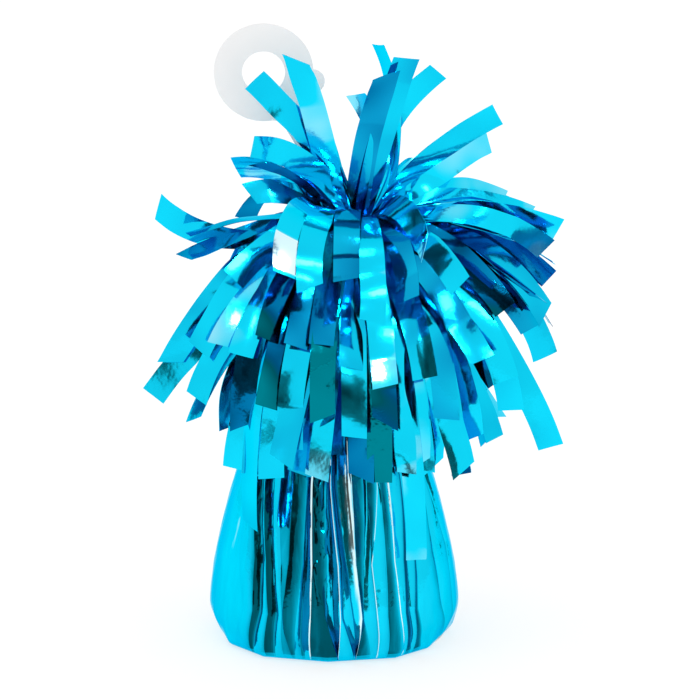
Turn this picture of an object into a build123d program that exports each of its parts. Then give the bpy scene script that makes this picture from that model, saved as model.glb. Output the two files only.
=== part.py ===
"""Fringed foil balloon weight.

A filled two-piece tub stands inside a sheet of foil that is gathered up round it and tied at the neck.
Slit foil plies are held in the same tie: their strips fold over the mouth of the neck and fan out as a
fringe. A flat hang tab is held by its strap in the middle of the neck.

Millimetres and degrees. +Z is up, the camera side is -Y, and the origin is the middle of the foot.
"""

import os
from dataclasses import dataclass
from math import cos, pi, radians, sin, tan

from build123d import *

# Foil and general clearances
FOIL = 0.3
FIT_GAP = 0.15
WRAP_GAP = 0.35

# Tub and its base cap
CAP_FOOT_RADIUS = 27.0
CAP_HEIGHT = 8.0
CAP_FLOOR = 1.6
CAP_LIP_HEIGHT = 4.0
CAP_LIP_WALL = 1.4
TUB_MOUTH_RADIUS = 28.3
TUB_WAIST_RADIUS = 26.4
TUB_WAIST_HEIGHT = 23.0
TUB_TOP_RADIUS = 18.0
TUB_TOP_HEIGHT = 56.0
TUB_WALL = 1.2
TUB_TOP_CHAMFER = 2.0

# Foil wrapper: its gathers stand out by a share of the radius, so they draw in with it
PLEATS = 26
PLEAT_SHARE = 0.05
GATHER_SAG = 0.6

# Neck and tie
NECK_LEAN = 4.0
NECK_FOOT = 93.0
NECK_LENGTH = 7.2
TIE_LIFT = 1.2
TIE_HEIGHT = 4.5
TIE_WALL = 1.1
TIE_CHAMFER = 0.4

# Fringe: strips stand in the tie by their legs and fold over the mouth of the neck
STRIP_WIDTH = 6.2
STRIP_LENGTH = 50.0
TUFT_LEG_RADIUS = 3.3
PLY_PITCH = 0.45
PLY_DROP = 1.0
MOUTH_RISE = 12.0
FOLD_CHORD = 0.9
BLADE_STEPS = 6
SIDE_GAP_SHARE = 0.06

# Hang tab
TAB_THICKNESS = 0.8
TAB_RADIUS = 12.0
TAB_HOLE_RADIUS = 5.15
TAB_REACH = 41.0
TAB_LEAN = 30.6
TAB_STRAP_WIDTH = 5.0
TAB_EAR_RADIUS = 2.9
TAB_EAR_TURN = -41.0
TAB_ROOT_FILLET = 3.0
TAB_PIVOT_DROP = 0.6
TAB_FLEX_GAP = 0.3


@dataclass(frozen=True)
class Ply:
    """One slit foil ply: where its strips stand, how they leave the neck and how they end.

    lift and tip are the slopes of a strip at the fold and at its free end, in degrees above level.
    reach is a strip's free length as a share of STRIP_LENGTH. lean is how many degrees higher the ply
    stands on its +X side than in the middle. The spreads are how far single strips depart from these
    slopes, and how far they roll about their length.
    """

    name: str
    strips: int
    lift: float
    tip: float
    reach: float
    lean: float
    lift_spread: float
    tip_spread: float
    roll_spread: float
    phase: float


@dataclass(frozen=True)
class Strip:
    """One foil strip: its direction in plan, slopes at the fold and the tip, reach and face turn."""

    azimuth: float
    lift: float
    tip: float
    reach: float
    turn: float


# The upright strips of the tuft, each with its own direction
TUFT_STRIPS = (
    Strip(azimuth=212, lift=58, tip=46, reach=0.92, turn=64),
    Strip(azimuth=243, lift=66, tip=56, reach=0.96, turn=33),
    Strip(azimuth=305, lift=66, tip=58, reach=0.94, turn=-38),
    Strip(azimuth=340, lift=48, tip=24, reach=0.92, turn=-75),
    Strip(azimuth=15, lift=40, tip=8, reach=0.84, turn=70),
    Strip(azimuth=45, lift=58, tip=44, reach=0.88, turn=50),
    Strip(azimuth=72, lift=70, tip=66, reach=0.86, turn=15),
    Strip(azimuth=100, lift=52, tip=30, reach=0.84, turn=0),
)
TUFT_HALF_PITCH = 13.5

# The drooping plies, from the innermost to the outermost
DROOPING_PLIES = (
    Ply("fringe_crown", 14, 15, -40, 0.90, 8, lift_spread=4, tip_spread=7, roll_spread=32, phase=0.5),
    Ply("fringe_upper", 18, 0, -56, 0.92, 4, lift_spread=3, tip_spread=5, roll_spread=0, phase=0),
    Ply("fringe_middle", 18, -22, -73, 1.14, -3.6, lift_spread=4, tip_spread=6, roll_spread=0, phase=0.5),
    Ply("fringe_lower", 18, -38, -82, 1.28, -3.6, lift_spread=4, tip_spread=5, roll_spread=0, phase=0),
    Ply("fringe_wrap", 18, -55, -88, 1.22, -3.6, lift_spread=2, tip_spread=2, roll_spread=0, phase=0.5),
)
SPREAD_TURN = 137.5

# Values that follow from those above
PLY_COUNT = 1 + len(DROOPING_PLIES)
MOUTH_HEIGHT = NECK_FOOT + MOUTH_RISE
TAB_PIVOT_HEIGHT = MOUTH_HEIGHT - TAB_PIVOT_DROP
OUTER_LEG_RADIUS = TUFT_LEG_RADIUS + (PLY_COUNT - 1) * PLY_PITCH
NECK_BORE_RADIUS = OUTER_LEG_RADIUS + FOIL / 2 + 2 * FIT_GAP
NECK_RIDGE_RADIUS = (NECK_BORE_RADIUS + FOIL) * (1 + PLEAT_SHARE)


def tub_radius(height: float) -> float:
    """Outer radius of the tub's wall at a height between its mouth and its top."""
    if height < TUB_WAIST_HEIGHT:
        share = (height - CAP_HEIGHT) / (TUB_WAIST_HEIGHT - CAP_HEIGHT)
        return TUB_MOUTH_RADIUS + (TUB_WAIST_RADIUS - TUB_MOUTH_RADIUS) * share
    share = (height - TUB_WAIST_HEIGHT) / (TUB_TOP_HEIGHT - TUB_WAIST_HEIGHT)
    return TUB_WAIST_RADIUS + (TUB_TOP_RADIUS - TUB_WAIST_RADIUS) * share


def wall_line(inset: float, low: float, high: float) -> Polyline:
    """The tub wall's outline between two heights, moved in by inset."""
    heights = (low, TUB_WAIST_HEIGHT, high)
    return Polyline(*((tub_radius(height) - inset, height) for height in heights))


def make_base_cap() -> Part:
    """The shallow dish that closes the tub's mouth, with a lip that plugs into it."""
    lip_top = CAP_HEIGHT + CAP_LIP_HEIGHT
    lip_foot_radius = tub_radius(CAP_HEIGHT) - TUB_WALL - FIT_GAP
    lip_top_radius = tub_radius(lip_top) - TUB_WALL - FIT_GAP
    bore = lip_top_radius - CAP_LIP_WALL
    with BuildPart() as cap:
        with BuildSketch(Plane.XZ):
            with BuildLine():
                Polyline(
                    (0, FOIL),
                    (CAP_FOOT_RADIUS, FOIL),
                    (TUB_MOUTH_RADIUS, CAP_HEIGHT),
                    (lip_foot_radius, CAP_HEIGHT),
                    (lip_top_radius, lip_top),
                    (bore, lip_top),
                    (bore, CAP_HEIGHT),
                    (CAP_FOOT_RADIUS - CAP_LIP_WALL, FOIL + CAP_FLOOR),
                    (0, FOIL + CAP_FLOOR),
                    close=True,
                )
            make_face()
        revolve(axis=Axis.Z)
    return cap.part


def make_tub() -> Part:
    """The inverted tub: a tapered wall with a waist, open below and closed on top."""
    inner_top = TUB_TOP_HEIGHT - TUB_WALL
    with BuildPart() as tub:
        with BuildSketch(Plane.XZ):
            with BuildLine():
                outer = wall_line(0, CAP_HEIGHT, TUB_TOP_HEIGHT)
                inner = wall_line(TUB_WALL, CAP_HEIGHT, inner_top)
                Polyline(outer @ 1, (0, TUB_TOP_HEIGHT), (0, inner_top), inner @ 1)
                Line(inner @ 0, outer @ 0)
            make_face()
        revolve(axis=Axis.Z)
        top_rim = tub.edges().filter_by(GeomType.CIRCLE).group_by(Axis.Z)[-1]
        chamfer(top_rim, length=TUB_TOP_CHAMFER)
    return tub.part


def make_ballast() -> Part:
    """The cast filling, stepped to clear the cap's lip."""
    foot = FOIL + CAP_FLOOR
    step = CAP_HEIGHT + CAP_LIP_HEIGHT + FIT_GAP
    top = TUB_TOP_HEIGHT - TUB_WALL - FIT_GAP
    lip_bore = tub_radius(CAP_HEIGHT + CAP_LIP_HEIGHT) - TUB_WALL - FIT_GAP - CAP_LIP_WALL
    foot_radius = min(lip_bore, CAP_FOOT_RADIUS - CAP_LIP_WALL) - FIT_GAP
    with BuildPart() as ballast:
        with BuildSketch(Plane.XZ):
            with BuildLine():
                wall = wall_line(TUB_WALL + FIT_GAP, step, top)
                Polyline(
                    wall @ 1, (0, top), (0, foot), (foot_radius, foot), (foot_radius, step), wall @ 0
                )
            make_face()
        revolve(axis=Axis.Z)
    return ballast.part


@dataclass(frozen=True)
class Station:
    """One cross-section of the wrapper: height, bore radius and sideways lean."""

    height: float
    bore: float
    lean: float


def wrapper_stations() -> list[Station]:
    """Sections of the wrapper from its foot to the mouth of the neck."""
    stations = [Station(0, CAP_FOOT_RADIUS + WRAP_GAP, 0)]
    for height in (CAP_HEIGHT, TUB_WAIST_HEIGHT, TUB_TOP_HEIGHT):
        stations.append(Station(height, tub_radius(height) + WRAP_GAP, 0))
    middle_bore = (stations[-1].bore + NECK_BORE_RADIUS) / 2 - GATHER_SAG
    stations.append(Station((TUB_TOP_HEIGHT + NECK_FOOT) / 2, middle_bore, NECK_LEAN / 2))
    for height in (NECK_FOOT, NECK_FOOT + NECK_LENGTH):
        stations.append(Station(height, NECK_BORE_RADIUS, NECK_LEAN))
    return stations


def gathered_outline(station: Station, wall: float) -> list[tuple[float, float]]:
    """Corners of one gathered outline: ridges and valleys taking turns round the section."""
    corners = []
    for corner in range(2 * PLEATS):
        angle = pi * corner / PLEATS
        radius = (station.bore + wall) * (1 + PLEAT_SHARE * (corner % 2))
        corners.append((station.lean + radius * cos(angle), radius * sin(angle)))
    return corners


def make_wrapper() -> Part:
    """The foil sheet: flat under the foot, gathered up the wall and drawn in to the neck."""
    with BuildPart() as wrapper:
        for station in wrapper_stations():
            with BuildSketch(Plane.XY.offset(station.height)):
                Polygon(*gathered_outline(station, FOIL), align=None)
        loft(ruled=True)
        for station in wrapper_stations():
            with BuildSketch(Plane.XY.offset(max(station.height, FOIL))):
                Polygon(*gathered_outline(station, 0), align=None)
        loft(ruled=True, mode=Mode.SUBTRACT)
    return wrapper.part


def make_tie() -> Part:
    """The band that holds the neck shut."""
    bore = NECK_RIDGE_RADIUS + FIT_GAP
    with BuildPart() as tie:
        with BuildSketch(Plane((NECK_LEAN, 0, NECK_FOOT + TIE_LIFT))):
            Circle(bore + TIE_WALL)
            Circle(bore, mode=Mode.SUBTRACT)
        extrude(amount=TIE_HEIGHT)
        rims = tie.edges().filter_by(GeomType.CIRCLE).group_by(SortBy.RADIUS)[-1]
        chamfer(rims, length=TIE_CHAMFER)
    return tie.part


def strip_path(strip: Strip, leg_radius: float, fold_height: float) -> list[tuple[float, float]]:
    """Centre line of a strip as radius and height: leg, fold and a blade of steady curvature."""
    points = [(leg_radius, NECK_FOOT), (leg_radius, fold_height)]
    turns = [90 + (strip.lift - 90) * share for share in (1 / 3, 2 / 3)]
    chords = [(FOLD_CHORD, turn) for turn in turns]
    for step in range(BLADE_STEPS):
        slope = strip.lift + (strip.tip - strip.lift) * (step + 0.5) / BLADE_STEPS
        chords.append((strip.reach * STRIP_LENGTH / BLADE_STEPS, slope))
    for chord, slope in chords:
        radius, height = points[-1]
        points.append((radius + chord * cos(radians(slope)), height + chord * sin(radians(slope))))
    return points


def make_drooping_strip(strip: Strip, ply: int, half_pitch: float) -> Part:
    """A strip that droops: its side view drawn out sideways, or rolled, and cut to its plan outline."""
    outer_leg_face = TUFT_LEG_RADIUS + ply * PLY_PITCH + FOIL / 2
    path = strip_path(strip, outer_leg_face, MOUTH_HEIGHT - ply * PLY_DROP)
    along = Vector(1, 0, 0).rotate(Axis.Z, strip.azimuth)
    side = along.rotate(Axis.Z, -90)
    half_width = STRIP_WIDTH / 2
    full_radius = half_width / tan(radians(half_pitch * (1 - SIDE_GAP_SHARE)))
    reach = max(radius for radius, _ in path) + full_radius
    top = max(height for _, height in path) + STRIP_WIDTH
    with BuildPart() as blade:
        with BuildSketch(Plane((NECK_LEAN, 0, 0), x_dir=along, z_dir=side)):
            with BuildLine():
                centre = Polyline(*path)
                offset(centre, amount=FOIL, side=Side.LEFT, kind=Kind.INTERSECTION)
            make_face()
        roll = Vector(0, 0, sin(radians(strip.turn))) + side * cos(radians(strip.turn))
        extrude(amount=half_width / cos(radians(strip.turn)), dir=roll, both=True)
        with BuildSketch(Plane((NECK_LEAN, 0, 0), x_dir=along)):
            Polygon(
                (0, 0),
                (full_radius, -half_width),
                (reach, -half_width),
                (reach, half_width),
                (full_radius, half_width),
                align=None,
            )
        extrude(amount=top, mode=Mode.INTERSECT)
    return blade.part


def make_twisted_strip(strip: Strip, ply: int, half_pitch: float) -> Part:
    """A strip that turns its face as it leaves the neck: sections in a row along its path."""
    path = strip_path(strip, TUFT_LEG_RADIUS + ply * PLY_PITCH, MOUTH_HEIGHT - ply * PLY_DROP)
    along = Vector(1, 0, 0).rotate(Axis.Z, strip.azimuth)
    points = [Vector(NECK_LEAN, 0, height) + along * radius for radius, height in path]
    chords = [(after - before).normalized() for before, after in zip(points, points[1:])]
    headings = [chords[0], *(one + two for one, two in zip(chords, chords[1:])), chords[-1]]
    spread = tan(radians(half_pitch * (1 - SIDE_GAP_SHARE)))
    blade_start = len(points) - 1 - BLADE_STEPS
    with BuildPart() as blade:
        for number, (point, heading) in enumerate(zip(points, headings)):
            share = max(0, number - blade_start) / BLADE_STEPS
            turn = strip.turn * share * (2 - share)
            across = along.rotate(Axis.Z, 90).rotate(Axis((0, 0, 0), heading), turn)
            with BuildSketch(Plane(point, x_dir=across, z_dir=heading)):
                Rectangle(min(STRIP_WIDTH, 2 * path[number][0] * spread), FOIL)
        loft(ruled=True)
    return blade.part


def drooping_strips(ply: Ply) -> list[Strip]:
    """The strips of one drooping ply, evenly spread in plan and unevenly bent."""
    strips = []
    for number in range(ply.strips):
        sway = sin(radians(SPREAD_TURN * (number + 1)))
        nod = cos(radians(2 * SPREAD_TURN * (number + 1)))
        azimuth = 360 * (number + ply.phase) / ply.strips
        raised = ply.lean * cos(radians(azimuth))
        strips.append(
            Strip(
                azimuth=azimuth,
                lift=ply.lift + ply.lift_spread * sway + raised,
                tip=ply.tip + ply.tip_spread * nod + raised,
                reach=ply.reach,
                turn=ply.roll_spread * sin(radians(3 * SPREAD_TURN * (number + 1))),
            )
        )
    return strips


def make_tuft() -> Compound:
    """The upright strips, as separate solids in the innermost ring of legs."""
    return Compound(children=[make_twisted_strip(strip, 0, TUFT_HALF_PITCH) for strip in TUFT_STRIPS])


def make_ply(ply: Ply, number: int) -> Compound:
    """The strips of one drooping ply, as separate solids side by side."""
    half_pitch = 180 / ply.strips
    strips = drooping_strips(ply)
    return Compound(children=[make_drooping_strip(strip, number, half_pitch) for strip in strips])


def tab_frame() -> Plane:
    """Plane of the hang tab: its origin lies on the line where the strap flexes, y runs up the strap."""
    across = Vector(1, 0, 0).rotate(Axis.Y, -TAB_LEAN)
    return Plane((NECK_LEAN, 0, TAB_PIVOT_HEIGHT), x_dir=across, z_dir=(0, -1, 0))


def make_hang_tab() -> Part:
    """The flat tab above the flex line: a ring with an ear, and a strap down to the neck."""
    frame = tab_frame()
    ear = Vector(TAB_RADIUS, 0).rotate(Axis.Z, TAB_EAR_TURN) + Vector(0, TAB_REACH)
    with BuildPart() as tab:
        with BuildSketch(frame):
            with Locations((0, TAB_REACH)):
                Circle(TAB_RADIUS)
            with Locations(ear):
                Circle(TAB_EAR_RADIUS)
            Rectangle(TAB_STRAP_WIDTH, TAB_REACH, align=(Align.CENTER, Align.MIN))
            with Locations((0, TAB_REACH)):
                Circle(TAB_HOLE_RADIUS, mode=Mode.SUBTRACT)
        extrude(amount=TAB_THICKNESS / 2, both=True)
        corners = [(edge, frame.to_local_coords(edge.center())) for edge in tab.edges().filter_by(Axis.Y)]
        strap_roots = [
            edge for edge, place in corners
            if abs(place.X) < TAB_STRAP_WIDTH and place.Y > TAB_STRAP_WIDTH
        ]
        fillet(strap_roots, radius=TAB_ROOT_FILLET)
    return tab.part


def make_tab_tail() -> Part:
    """The strap below the flex line, held upright in the middle of the neck."""
    frame = tab_frame()
    length = TAB_PIVOT_HEIGHT - NECK_FOOT + TAB_STRAP_WIDTH
    with BuildPart() as tail:
        with BuildSketch(Plane((NECK_LEAN, 0, NECK_FOOT), x_dir=(1, 0, 0), z_dir=(0, -1, 0))):
            Rectangle(TAB_STRAP_WIDTH, length, align=(Align.CENTER, Align.MIN))
        extrude(amount=TAB_THICKNESS / 2, both=True)
        flex_end = Plane(frame.origin - frame.y_dir * TAB_FLEX_GAP, z_dir=frame.y_dir)
        split(bisect_by=flex_end, keep=Keep.BOTTOM)
    return tail.part


def main() -> None:
    """Build every piece and write it to its own file."""
    os.makedirs("parts", exist_ok=True)
    pieces = {
        "base_cap": make_base_cap(),
        "tub": make_tub(),
        "ballast": make_ballast(),
        "foil_wrapper": make_wrapper(),
        "neck_tie": make_tie(),
        "fringe_tuft": make_tuft(),
        "tab_tail": make_tab_tail(),
        "hang_tab": make_hang_tab(),
    }
    for number, ply in enumerate(DROOPING_PLIES, start=1):
        pieces[ply.name] = make_ply(ply, number)
    for name, piece in pieces.items():
        piece.label = name
        export_step(piece, f"parts/{name}.step")
        print(name, len(piece.solids()), "solids", round(piece.volume), "mm3")


main()
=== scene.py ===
"""Looks of the fringed foil balloon weight, on the shared frame.

Metres and degrees in Blender, millimetres in the named sizes below. +Z is up, the camera side is -Y.
A bearing is measured in plan from +X towards +Y, so the front of the object is at 270 degrees.
"""

import logging
import math
from dataclasses import dataclass
from enum import Enum
from random import Random
from typing import ClassVar

import bmesh
import bpy
from mathutils import Matrix, Vector, noise


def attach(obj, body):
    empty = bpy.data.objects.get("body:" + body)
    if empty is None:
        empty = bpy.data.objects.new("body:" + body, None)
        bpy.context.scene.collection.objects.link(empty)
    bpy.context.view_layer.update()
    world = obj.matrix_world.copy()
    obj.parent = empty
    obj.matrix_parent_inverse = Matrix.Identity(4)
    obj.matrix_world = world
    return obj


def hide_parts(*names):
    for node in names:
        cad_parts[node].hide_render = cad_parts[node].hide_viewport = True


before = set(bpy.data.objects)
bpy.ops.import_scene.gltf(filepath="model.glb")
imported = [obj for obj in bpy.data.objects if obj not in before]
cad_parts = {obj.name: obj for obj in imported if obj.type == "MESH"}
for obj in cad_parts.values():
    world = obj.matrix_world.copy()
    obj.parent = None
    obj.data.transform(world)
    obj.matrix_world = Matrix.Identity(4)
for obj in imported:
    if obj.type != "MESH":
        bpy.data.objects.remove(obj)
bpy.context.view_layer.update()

LOG = logging.getLogger("balloon_weight")

Colour = tuple[float, float, float]
Place = tuple[float, float, float]

MM = 0.001

# Bearings and angles in degrees
FULL_TURN = 360.0
UPRIGHT = 90.0
FRONT = 270.0
UNCREASED = 180.0

# Mesh and ramp settings that several pieces share
MERGE_DISTANCE = 1e-6
RAMP_ENDS = (0.3, 0.7)

# Places shared by the wrapper and the fringe, in millimetres, and the flare's slope in degrees
NECK_LEAN = 4.0
NECK_FOOT = 93.0
MOUTH_HEIGHT = 105.0
LEG_RADIUS = 3.3
PLY_PITCH = 0.45
PLY_DROP = 1.0
STRIP_WIDTH = 6.2
FLARE_SLOPE = 58.0
FLARE_LENGTH = 7.0
FILM_THICKNESS = 0.12

# Tone of a painted white highlight, and how seeds step from ply to ply, from strip to strip and to a
# chance tone
PAINTED_HIGHLIGHT_TONE = 1.0
PLY_SEED = 10.0
STRIP_SEED = 0.731
TONE_SEED = 0.5

# What the sheets of foil ride on
WEIGHT_BODY = "weight"

# Height that the studio's cards and lamps are aimed at, in metres
AIM_HEIGHT = 0.07


class Stance(Enum):
    """How a card of the studio is set up."""

    STANDING = "standing"
    LYING = "lying"


class NodeGraph:
    """A small helper that adds and links the nodes of one material or world."""

    def __init__(self, tree: bpy.types.NodeTree) -> None:
        """Start from an emptied node tree."""
        self.tree = tree
        tree.nodes.clear()

    def add(self, kind: str, inputs: dict | None = None, **settings: object) -> bpy.types.Node:
        """Add one node.

        Args:
            kind: Blender's type name of the node.
            inputs: values or output sockets, by the name or number of the input socket.
            settings: properties of the node itself.

        Returns:
            The new node.
        """
        node = self.tree.nodes.new(kind)
        for name, value in settings.items():
            setattr(node, name, value)
        for name, value in (inputs or {}).items():
            if isinstance(value, bpy.types.NodeSocket):
                self.tree.links.new(value, node.inputs[name])
            else:
                node.inputs[name].default_value = value
        return node

    def ramp(self, fac: bpy.types.NodeSocket, stops: tuple) -> bpy.types.NodeSocket:
        """Add a colour ramp.

        Args:
            fac: the socket that drives it.
            stops: pairs of position and colour, at least two.

        Returns:
            The colour output.
        """
        node = self.add("ShaderNodeValToRGB", {"Fac": fac})
        elements = node.color_ramp.elements
        while len(elements) < len(stops):
            elements.new(0.5)
        for element, (position, colour) in zip(elements, stops):
            element.position = position
            element.color = (*colour, 1.0)
        return node.outputs["Color"]

    def place(self) -> bpy.types.NodeSocket:
        """Add the piece's own coordinates."""
        return self.add("ShaderNodeTexCoord").outputs["Object"]

    def math(
        self, operation: str, first: bpy.types.NodeSocket, second: bpy.types.NodeSocket | float
    ) -> bpy.types.NodeSocket:
        """Add a sum or a product of two values.

        Args:
            operation: Blender's name of the operation.
            first: the first value.
            second: the second value, a socket or a number.

        Returns:
            The result.
        """
        return self.add("ShaderNodeMath", {0: first, 1: second}, operation=operation).outputs["Value"]

    def cloud(
        self, place: bpy.types.NodeSocket, scale: float, detail: float = 2.0, roughness: float = 0.5
    ) -> bpy.types.NodeSocket:
        """Add a noise.

        Args:
            place: the coordinates that it is read at.
            scale: how fine it is.
            detail: number of finer layers in it.
            roughness: strength of the finer layers.

        Returns:
            The noise's value, from 0 to 1.
        """
        inputs = {"Vector": place, "Scale": scale, "Detail": detail, "Roughness": roughness}
        return self.add("ShaderNodeTexNoise", inputs).outputs["Fac"]

    def bump(
        self,
        height: bpy.types.NodeSocket,
        strength: bpy.types.NodeSocket | float,
        depth: float,
        over: bpy.types.NodeSocket | None = None,
    ) -> bpy.types.NodeSocket:
        """Add a bump.

        Args:
            height: the relief.
            strength: how strongly it shows, a socket or a number.
            depth: how deep it is, in metres.
            over: normal of the bump that it lies on, if there is one.

        Returns:
            The bumped normal.
        """
        inputs = {"Height": height, "Strength": strength, "Distance": depth}
        if over is not None:
            inputs["Normal"] = over
        return self.add("ShaderNodeBump", inputs).outputs["Normal"]

    def surface(self, inputs: dict) -> None:
        """Add the shader with its inputs and link it to the output."""
        shader = self.add("ShaderNodeBsdfPrincipled", inputs)
        self.add("ShaderNodeOutputMaterial", {"Surface": shader.outputs["BSDF"]})


def new_material(name: str) -> tuple[bpy.types.Material, NodeGraph]:
    """Make an empty node material.

    Args:
        name: the material's name.

    Returns:
        The material and the graph of its nodes.
    """
    material = bpy.data.materials.new(name)
    material.use_nodes = True
    return material, NodeGraph(material.node_tree)


@dataclass(frozen=True)
class FoilFinish:
    """Metallised polyester film: a coloured mirror, finely crinkled.

    Attributes:
        name: the material's name.
        painted_sheen, teal, navy, deep, middle, bright, light, glint: painted reflection and shade tones,
        from dark reflections to a painted white highlight.
        stops: where these tones stand, as the piece's own tone plus the mottle.
        stretch: how fine the mottle is along each axis.
        mottle: how far the mottle shifts the tone.
        edge: tint of the reflection at a glancing angle.
        roughness: how matt the mirror is.
        crinkle, crinkle_scale, crinkle_depth: strength, fineness and depth in metres of the crinkles.
        crinkle_detail, crinkle_fineness: number and strength of the finer layers in them.
        crush, crush_scale, crush_depth: the same of the finer crumpling of dark parts.
        crush_tone: the piece's own tone past which nothing is crumpled.
    """

    name: str
    painted_sheen: Colour = (0.0, 0.21, 0.27)
    teal: Colour = (0.0, 0.085, 0.115)
    navy: Colour = (0.0, 0.08, 0.20)
    deep: Colour = (0.0, 0.15, 0.36)
    middle: Colour = (0.003, 0.31, 0.58)
    bright: Colour = (0.004, 0.54, 0.80)
    light: Colour = (0.005, 0.67, 0.92)
    glint: Colour = (0.70, 0.95, 1.0)
    stops: tuple[float, ...] = (0.0, 0.12, 0.16, 0.21, 0.4, 0.6, 0.9, 1.0)
    stretch: tuple[float, float, float] = (45.0, 45.0, 45.0)
    mottle: float = 0.2
    edge: Colour = (0.05, 0.75, 0.95)
    roughness: float = 0.10
    crinkle: float = 0.04
    crinkle_scale: float = 160.0
    crinkle_depth: float = 0.002
    crinkle_detail: float = 3.0
    crinkle_fineness: float = 0.55
    crush: float = 0.16
    crush_scale: float = 420.0
    crush_depth: float = 0.0006
    crush_tone: float = 0.25

    def make(self) -> bpy.types.Material:
        """Build the material; its base colour paints reflection and shade by the piece's tone attribute
        and a slow noise.
        """
        material, graph = new_material(self.name)
        place = graph.place()
        tone = graph.add("ShaderNodeAttribute", attribute_name="tone").outputs["Fac"]
        drawn = graph.add("ShaderNodeMapping", {"Vector": place, "Scale": self.stretch}).outputs["Vector"]
        share = graph.math("ADD", tone, graph.math("MULTIPLY", graph.cloud(drawn, 1.0), self.mottle))
        # Painted reflection and shade: the ramp turns the tone into the base colour, from dark reflections
        # to a painted white highlight.
        tones = (
            self.painted_sheen, self.teal, self.navy, self.deep, self.middle, self.bright, self.light, self.glint
        )
        grain = graph.cloud(place, self.crinkle_scale, self.crinkle_detail, self.crinkle_fineness)
        crumpled = graph.add(
            "ShaderNodeMapRange",
            {"Value": tone, "From Max": self.crush_tone, "To Min": self.crush, "To Max": 0.0},
        ).outputs["Result"]
        bump = graph.bump(grain, self.crinkle, self.crinkle_depth)
        bump = graph.bump(graph.cloud(place, self.crush_scale), crumpled, self.crush_depth, over=bump)
        graph.surface(
            {
                "Base Color": graph.ramp(share, tuple(zip(self.stops, tones))),
                "Metallic": 1.0,
                "Roughness": self.roughness,
                "Specular Tint": (*self.edge, 1.0),
                "Normal": bump,
            }
        )
        return material


@dataclass(frozen=True)
class PlainFinish:
    """A plain moulded, cast or rubber surface with a mottled tone and a fine grain.

    Attributes:
        name: the material's name.
        dark, light: the ends of the mottled tone.
        roughness: how matt it is.
        mottle_scale, mottle_detail: how fine the mottle is, and its number of finer layers.
        grain, grain_scale, grain_depth: strength, fineness and depth in metres of the grain.
    """

    name: str
    dark: Colour
    light: Colour
    roughness: float
    mottle_scale: float
    grain_scale: float
    grain: float
    mottle_detail: float = 5.0
    grain_depth: float = 0.0005

    def make(self) -> bpy.types.Material:
        """Build the material."""
        material, graph = new_material(self.name)
        place = graph.place()
        mottle = graph.cloud(place, self.mottle_scale, self.mottle_detail)
        graph.surface(
            {
                "Base Color": graph.ramp(mottle, tuple(zip(RAMP_ENDS, (self.dark, self.light)))),
                "Roughness": self.roughness,
                "Normal": graph.bump(graph.cloud(place, self.grain_scale), self.grain, self.grain_depth),
            }
        )
        return material


@dataclass(frozen=True)
class TabFinish:
    """Thin milky sheet plastic that lets some light through.

    Attributes:
        name: the material's name.
        milk, haze: the ends of its clouded tone.
        cloud_scale, cloud_detail: how fine the clouding is, and its number of finer layers.
        grain, grain_scale, grain_depth: strength, fineness and depth in metres of the grain.
        roughness, gloss: how matt it is, and how strongly it mirrors.
        through: share of the light that goes through.
        glow: painted light, a glow of its own that lightens the tab.
    """

    name: str
    milk: Colour = (0.88, 0.868, 0.862)
    haze: Colour = (0.85, 0.838, 0.832)
    cloud_scale: float = 60.0
    cloud_detail: float = 3.0
    grain: float = 0.05
    grain_scale: float = 900.0
    grain_depth: float = 0.0003
    roughness: float = 0.5
    gloss: float = 0.15
    through: float = 0.1
    glow: float = 0.08

    def make(self) -> bpy.types.Material:
        """Build the material."""
        material, graph = new_material(self.name)
        place = graph.place()
        cloud = graph.cloud(place, self.cloud_scale, self.cloud_detail)
        graph.surface(
            {
                "Base Color": graph.ramp(cloud, tuple(zip(RAMP_ENDS, (self.haze, self.milk)))),
                "Roughness": self.roughness,
                "Specular IOR Level": self.gloss,
                "Transmission Weight": self.through,
                # Painted light: a white glow of its own that lightens the tab.
                "Emission Color": (1.0, 1.0, 1.0, 1.0),
                "Emission Strength": self.glow,
                "Normal": graph.bump(graph.cloud(place, self.grain_scale), self.grain, self.grain_depth),
            }
        )
        return material


def lerp(low: float, high: float, share: float) -> float:
    """Value at a share of the way from low to high."""
    return low + (high - low) * share


def ease(low: float, high: float, value: float) -> float:
    """Smooth step from 0 at low to 1 at high."""
    share = min(1.0, max(0.0, (value - low) / (high - low)))
    return share * share * (3 - 2 * share)


def in_plan(bearing: float) -> Vector:
    """Level unit vector at a bearing."""
    turn = math.radians(bearing)
    return Vector((math.cos(turn), math.sin(turn), 0.0))


def sloping(bearing: float, slope: float) -> Vector:
    """Unit vector at a bearing that climbs at a slope."""
    rise = math.radians(slope)
    return in_plan(bearing) * math.cos(rise) + Vector((0.0, 0.0, math.sin(rise)))


def finish_mesh(
    name: str, shape: bmesh.types.BMesh, material: bpy.types.Material, crease: float
) -> bpy.types.Object:
    """Turn a bmesh into a smooth-shaded object whose sharp folds stay crisp.

    Args:
        name: the object's name.
        shape: the finished bmesh, which is freed.
        material: the material of all its faces.
        crease: angle in degrees past which an edge is shaded sharp.

    Returns:
        The object, linked to the scene.
    """
    for face in shape.faces:
        face.smooth = True
    for edge in shape.edges:
        edge.smooth = len(edge.link_faces) == 2 and edge.calc_face_angle() < math.radians(crease)
    mesh = bpy.data.meshes.new(name)
    shape.to_mesh(mesh)
    shape.free()
    mesh.materials.append(material)
    piece = bpy.data.objects.new(name, mesh)
    bpy.context.scene.collection.objects.link(piece)
    return piece


def thicken(piece: bpy.types.Object, thickness: float, offset: float) -> None:
    """Give a sheet its film thickness in millimetres with a live modifier."""
    wall = piece.modifiers.new("film", "SOLIDIFY")
    wall.thickness = thickness * MM
    wall.offset = offset


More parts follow.
